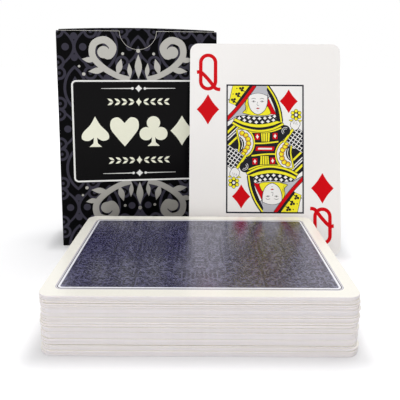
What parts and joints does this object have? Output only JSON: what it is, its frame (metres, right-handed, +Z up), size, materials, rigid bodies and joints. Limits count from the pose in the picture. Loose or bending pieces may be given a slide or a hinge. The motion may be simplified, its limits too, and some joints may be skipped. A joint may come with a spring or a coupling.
{
  "type": "playing card deck",
  "caption": "Deck of plastic playing cards: a face-down pile of separate cards, one court card leaning on the folding tuck box that holds them.",
  "frame": {"origin": "middle of the underside of the pile's lowest card, on the table", "axes": "+X along the cards' long side to the player's right, +Y away from the player towards the box, +Z up"},
  "size_m": [0.12, 0.1035, 0.0929],
  "materials": {
    "box_board": "printed and gloss varnished folding board, white core",
    "card_plastic": "printed satin-gloss sheet"
  },
  "bodies": {
    "box": {"box_sleeve": "box_board", "box_floor": "box_board"},
    "box_lid": {"box_lid": "box_board"},
    "box_tuck_tab": {"box_tuck_tab": "box_board"},
    "box_left_dust_flap": {"box_left_dust_flap": "box_board"},
    "box_right_dust_flap": {"box_right_dust_flap": "box_board"},
    "queen_of_diamonds": {"queen_of_diamonds": "card_plastic"},
    "first_joker": {"first_joker": "card_plastic"},
    "second_joker": {"second_joker": "card_plastic"},
    "ace_of_spades": {"ace_of_spades": "card_plastic"},
    "two_of_spades": {"two_of_spades": "card_plastic"},
    "three_of_spades": {"three_of_spades": "card_plastic"},
    "four_of_spades": {"four_of_spades": "card_plastic"},
    "five_of_spades": {"five_of_spades": "card_plastic"},
    "six_of_spades": {"six_of_spades": "card_plastic"},
    "seven_of_spades": {"seven_of_spades": "card_plastic"},
    "eight_of_spades": {"eight_of_spades": "card_plastic"},
    "nine_of_spades": {"nine_of_spades": "card_plastic"},
    "ten_of_spades": {"ten_of_spades": "card_plastic"},
    "jack_of_spades": {"jack_of_spades": "card_plastic"},
    "queen_of_spades": {"queen_of_spades": "card_plastic"},
    "king_of_spades": {"king_of_spades": "card_plastic"},
    "ace_of_diamonds": {"ace_of_diamonds": "card_plastic"},
    "two_of_diamonds": {"two_of_diamonds": "card_plastic"},
    "three_of_diamonds": {"three_of_diamonds": "card_plastic"},
    "four_of_diamonds": {"four_of_diamonds": "card_plastic"},
    "five_of_diamonds": {"five_of_diamonds": "card_plastic"},
    "six_of_diamonds": {"six_of_diamonds": "card_plastic"},
    "seven_of_diamonds": {"seven_of_diamonds": "card_plastic"},
    "eight_of_diamonds": {"eight_of_diamonds": "card_plastic"},
    "nine_of_diamonds": {"nine_of_diamonds": "card_plastic"},
    "ten_of_diamonds": {"ten_of_diamonds": "card_plastic"},
    "jack_of_diamonds": {"jack_of_diamonds": "card_plastic"},
    "king_of_diamonds": {"king_of_diamonds": "card_plastic"},
    "ace_of_clubs": {"ace_of_clubs": "card_plastic"},
    "two_of_clubs": {"two_of_clubs": "card_plastic"},
    "three_of_clubs": {"three_of_clubs": "card_plastic"},
    "four_of_clubs": {"four_of_clubs": "card_plastic"},
    "five_of_clubs": {"five_of_clubs": "card_plastic"},
    "six_of_clubs": {"six_of_clubs": "card_plastic"},
    "seven_of_clubs": {"seven_of_clubs": "card_plastic"},
    "eight_of_clubs": {"eight_of_clubs": "card_plastic"},
    "nine_of_clubs": {"nine_of_clubs": "card_plastic"},
    "ten_of_clubs": {"ten_of_clubs": "card_plastic"},
    "jack_of_clubs": {"jack_of_clubs": "card_plastic"},
    "queen_of_clubs": {"queen_of_clubs": "card_plastic"},
    "king_of_clubs": {"king_of_clubs": "card_plastic"},
    "ace_of_hearts": {"ace_of_hearts": "card_plastic"},
    "two_of_hearts": {"two_of_hearts": "card_plastic"},
    "three_of_hearts": {"three_of_hearts": "card_plastic"},
    "four_of_hearts": {"four_of_hearts": "card_plastic"},
    "five_of_hearts": {"five_of_hearts": "card_plastic"},
    "six_of_hearts": {"six_of_hearts": "card_plastic"},
    "seven_of_hearts": {"seven_of_hearts": "card_plastic"},
    "eight_of_hearts": {"eight_of_hearts": "card_plastic"},
    "nine_of_hearts": {"nine_of_hearts": "card_plastic"},
    "ten_of_hearts": {"ten_of_hearts": "card_plastic"},
    "jack_of_hearts": {"jack_of_hearts": "card_plastic"},
    "queen_of_hearts": {"queen_of_hearts": "card_plastic"},
    "king_of_hearts": {"king_of_hearts": "card_plastic"}
  },
  "joints": [
    {"name": "box_lid_fold", "type": "hinge", "parent": "box", "child": "box_lid", "pos_m": [-0.02874, 0.06739, 0.09165], "axis": [-0.9917, -0.1288, 0], "range_deg": [0, 110]},
    {"name": "box_tab_fold", "type": "hinge", "parent": "box_lid", "child": "box_tuck_tab", "pos_m": [-0.02633, 0.04883, 0.0917], "axis": [-0.9917, -0.1288, 0], "range_deg": [-60.6, 0]},
    {"name": "box_left_flap_fold", "type": "hinge", "parent": "box", "child": "box_left_dust_flap", "pos_m": [-0.06032, 0.05294, 0.09115], "axis": [0.1288, -0.9917, 0], "range_deg": [0, 44.1]},
    {"name": "box_right_flap_fold", "type": "hinge", "parent": "box", "child": "box_right_dust_flap", "pos_m": [0.00548, 0.06149, 0.09115], "axis": [-0.1288, 0.9917, 0], "range_deg": [0, 44.1]},
    {"name": "deck_lift", "type": "slide", "parent": "box", "child": "first_joker", "axis": [0, 0, 1], "range_m": [0, 0.03]},
    {"name": "leaning_card_lift", "type": "slide", "parent": "box", "child": "queen_of_diamonds", "axis": [0, 0, 1], "range_m": [0, 0.03]},
    {"name": "pull_second_joker", "type": "slide", "parent": "first_joker", "child": "second_joker", "axis": [0, -1, 0], "range_m": [0, 0.066]},
    {"name": "pull_ace_of_spades", "type": "slide", "parent": "first_joker", "child": "ace_of_spades", "axis": [0, -1, 0], "range_m": [0, 0.066]},
    {"name": "pull_two_of_spades", "type": "slide", "parent": "first_joker", "child": "two_of_spades", "axis": [0, -1, 0], "range_m": [0, 0.066]},
    {"name": "pull_three_of_spades", "type": "slide", "parent": "first_joker", "child": "three_of_spades", "axis": [0, -1, 0], "range_m": [0, 0.066]},
    {"name": "pull_four_of_spades", "type": "slide", "parent": "first_joker", "child": "four_of_spades", "axis": [0, -1, 0], "range_m": [0, 0.066]},
    {"name": "pull_five_of_spades", "type": "slide", "parent": "first_joker", "child": "five_of_spades", "axis": [0, -1, 0], "range_m": [0, 0.066]},
    {"name": "pull_six_of_spades", "type": "slide", "parent": "first_joker", "child": "six_of_spades", "axis": [0, -1, 0], "range_m": [0, 0.066]},
    {"name": "pull_seven_of_spades", "type": "slide", "parent": "first_joker", "child": "seven_of_spades", "axis": [0, -1, 0], "range_m": [0, 0.066]},
    {"name": "pull_eight_of_spades", "type": "slide", "parent": "first_joker", "child": "eight_of_spades", "axis": [0, -1, 0], "range_m": [0, 0.066]},
    {"name": "pull_nine_of_spades", "type": "slide", "parent": "first_joker", "child": "nine_of_spades", "axis": [0, -1, 0], "range_m": [0, 0.066]},
    {"name": "pull_ten_of_spades", "type": "slide", "parent": "first_joker", "child": "ten_of_spades", "axis": [0, -1, 0], "range_m": [0, 0.066]},
    {"name": "pull_jack_of_spades", "type": "slide", "parent": "first_joker", "child": "jack_of_spades", "axis": [0, -1, 0], "range_m": [0, 0.066]},
    {"name": "pull_queen_of_spades", "type": "slide", "parent": "first_joker", "child": "queen_of_spades", "axis": [0, -1, 0], "range_m": [0, 0.066]},
    {"name": "pull_king_of_spades", "type": "slide", "parent": "first_joker", "child": "king_of_spades", "axis": [0, -1, 0], "range_m": [0, 0.066]},
    {"name": "pull_ace_of_diamonds", "type": "slide", "parent": "first_joker", "child": "ace_of_diamonds", "axis": [0, -1, 0], "range_m": [0, 0.066]},
    {"name": "pull_two_of_diamonds", "type": "slide", "parent": "first_joker", "child": "two_of_diamonds", "axis": [0, -1, 0], "range_m": [0, 0.066]},
    {"name": "pull_three_of_diamonds", "type": "slide", "parent": "first_joker", "child": "three_of_diamonds", "axis": [0, -1, 0], "range_m": [0, 0.066]},
    {"name": "pull_four_of_diamonds", "type": "slide", "parent": "first_joker", "child": "four_of_diamonds", "axis": [0, -1, 0], "range_m": [0, 0.066]},
    {"name": "pull_five_of_diamonds", "type": "slide", "parent": "first_joker", "child": "five_of_diamonds", "axis": [0, -1, 0], "range_m": [0, 0.066]},
    {"name": "pull_six_of_diamonds", "type": "slide", "parent": "first_joker", "child": "six_of_diamonds", "axis": [0, -1, 0], "range_m": [0, 0.066]},
    {"name": "pull_seven_of_diamonds", "type": "slide", "parent": "first_joker", "child": "seven_of_diamonds", "axis": [0, -1, 0], "range_m": [0, 0.066]},
    {"name": "pull_eight_of_diamonds", "type": "slide", "parent": "first_joker", "child": "eight_of_diamonds", "axis": [0, -1, 0], "range_m": [0, 0.066]},
    {"name": "pull_nine_of_diamonds", "type": "slide", "parent": "first_joker", "child": "nine_of_diamonds", "axis": [0, -1, 0], "range_m": [0, 0.066]},
    {"name": "pull_ten_of_diamonds", "type": "slide", "parent": "first_joker", "child": "ten_of_diamonds", "axis": [0, -1, 0], "range_m": [0, 0.066]},
    {"name": "pull_jack_of_diamonds", "type": "slide", "parent": "first_joker", "child": "jack_of_diamonds", "axis": [0, -1, 0], "range_m": [0, 0.066]},
    {"name": "pull_king_of_diamonds", "type": "slide", "parent": "first_joker", "child": "king_of_diamonds", "axis": [0, -1, 0], "range_m": [0, 0.066]},
    {"name": "pull_ace_of_clubs", "type": "slide", "parent": "first_joker", "child": "ace_of_clubs", "axis": [0, -1, 0], "range_m": [0, 0.066]},
    {"name": "pull_two_of_clubs", "type": "slide", "parent": "first_joker", "child": "two_of_clubs", "axis": [0, -1, 0], "range_m": [0, 0.066]},
    {"name": "pull_three_of_clubs", "type": "slide", "parent": "first_joker", "child": "three_of_clubs", "axis": [0, -1, 0], "range_m": [0, 0.066]},
    {"name": "pull_four_of_clubs", "type": "slide", "parent": "first_joker", "child": "four_of_clubs", "axis": [0, -1, 0], "range_m": [0, 0.066]},
    {"name": "pull_five_of_clubs", "type": "slide", "parent": "first_joker", "child": "five_of_clubs", "axis": [0, -1, 0], "range_m": [0, 0.066]},
    {"name": "pull_six_of_clubs", "type": "slide", "parent": "first_joker", "child": "six_of_clubs", "axis": [0, -1, 0], "range_m": [0, 0.066]},
    {"name": "pull_seven_of_clubs", "type": "slide", "parent": "first_joker", "child": "seven_of_clubs", "axis": [0, -1, 0], "range_m": [0, 0.066]},
    {"name": "pull_eight_of_clubs", "type": "slide", "parent": "first_joker", "child": "eight_of_clubs", "axis": [0, -1, 0], "range_m": [0, 0.066]},
    {"name": "pull_nine_of_clubs", "type": "slide", "parent": "first_joker", "child": "nine_of_clubs", "axis": [0, -1, 0], "range_m": [0, 0.066]},
    {"name": "pull_ten_of_clubs", "type": "slide", "parent": "first_joker", "child": "ten_of_clubs", "axis": [0, -1, 0], "range_m": [0, 0.066]},
    {"name": "pull_jack_of_clubs", "type": "slide", "parent": "first_joker", "child": "jack_of_clubs", "axis": [0, -1, 0], "range_m": [0, 0.066]},
    {"name": "pull_queen_of_clubs", "type": "slide", "parent": "first_joker", "child": "queen_of_clubs", "axis": [0, -1, 0], "range_m": [0, 0.066]},
    {"name": "pull_king_of_clubs", "type": "slide", "parent": "first_joker", "child": "king_of_clubs", "axis": [0, -1, 0], "range_m": [0, 0.066]},
    {"name": "pull_ace_of_hearts", "type": "slide", "parent": "first_joker", "child": "ace_of_hearts", "axis": [0, -1, 0], "range_m": [0, 0.066]},
    {"name": "pull_two_of_hearts", "type": "slide", "parent": "first_joker", "child": "two_of_hearts", "axis": [0, -1, 0], "range_m": [0, 0.066]},
    {"name": "pull_three_of_hearts", "type": "slide", "parent": "first_joker", "child": "three_of_hearts", "axis": [0, -1, 0], "range_m": [0, 0.066]},
    {"name": "pull_four_of_hearts", "type": "slide", "parent": "first_joker", "child": "four_of_hearts", "axis": [0, -1, 0], "range_m": [0, 0.066]},
    {"name": "pull_five_of_hearts", "type": "slide", "parent": "first_joker", "child": "five_of_hearts", "axis": [0, -1, 0], "range_m": [0, 0.066]},
    {"name": "pull_six_of_hearts", "type": "slide", "parent": "first_joker", "child": "six_of_hearts", "axis": [0, -1, 0], "range_m": [0, 0.066]},
    {"name": "pull_seven_of_hearts", "type": "slide", "parent": "first_joker", "child": "seven_of_hearts", "axis": [0, -1, 0], "range_m": [0, 0.066]},
    {"name": "pull_eight_of_hearts", "type": "slide", "parent": "first_joker", "child": "eight_of_hearts", "axis": [0, -1, 0], "range_m": [0, 0.066]},
    {"name": "pull_nine_of_hearts", "type": "slide", "parent": "first_joker", "child": "nine_of_hearts", "axis": [0, -1, 0], "range_m": [0, 0.066]},
    {"name": "pull_ten_of_hearts", "type": "slide", "parent": "first_joker", "child": "ten_of_hearts", "axis": [0, -1, 0], "range_m": [0, 0.066]},
    {"name": "pull_jack_of_hearts", "type": "slide", "parent": "first_joker", "child": "jack_of_hearts", "axis": [0, -1, 0], "range_m": [0, 0.066]},
    {"name": "pull_queen_of_hearts", "type": "slide", "parent": "first_joker", "child": "queen_of_hearts", "axis": [0, -1, 0], "range_m": [0, 0.066]},
    {"name": "pull_king_of_hearts", "type": "slide", "parent": "first_joker", "child": "king_of_hearts", "axis": [0, -1, 0], "range_m": [0, 0.066]}
  ],
  "couplings": [
    {"joint": "box_tab_fold", "follows": "box_lid_fold", "ratio": -0.55},
    {"joint": "box_left_flap_fold", "follows": "box_lid_fold", "ratio": 0.4},
    {"joint": "box_right_flap_fold", "follows": "box_lid_fold", "ratio": 0.4}
  ]
}
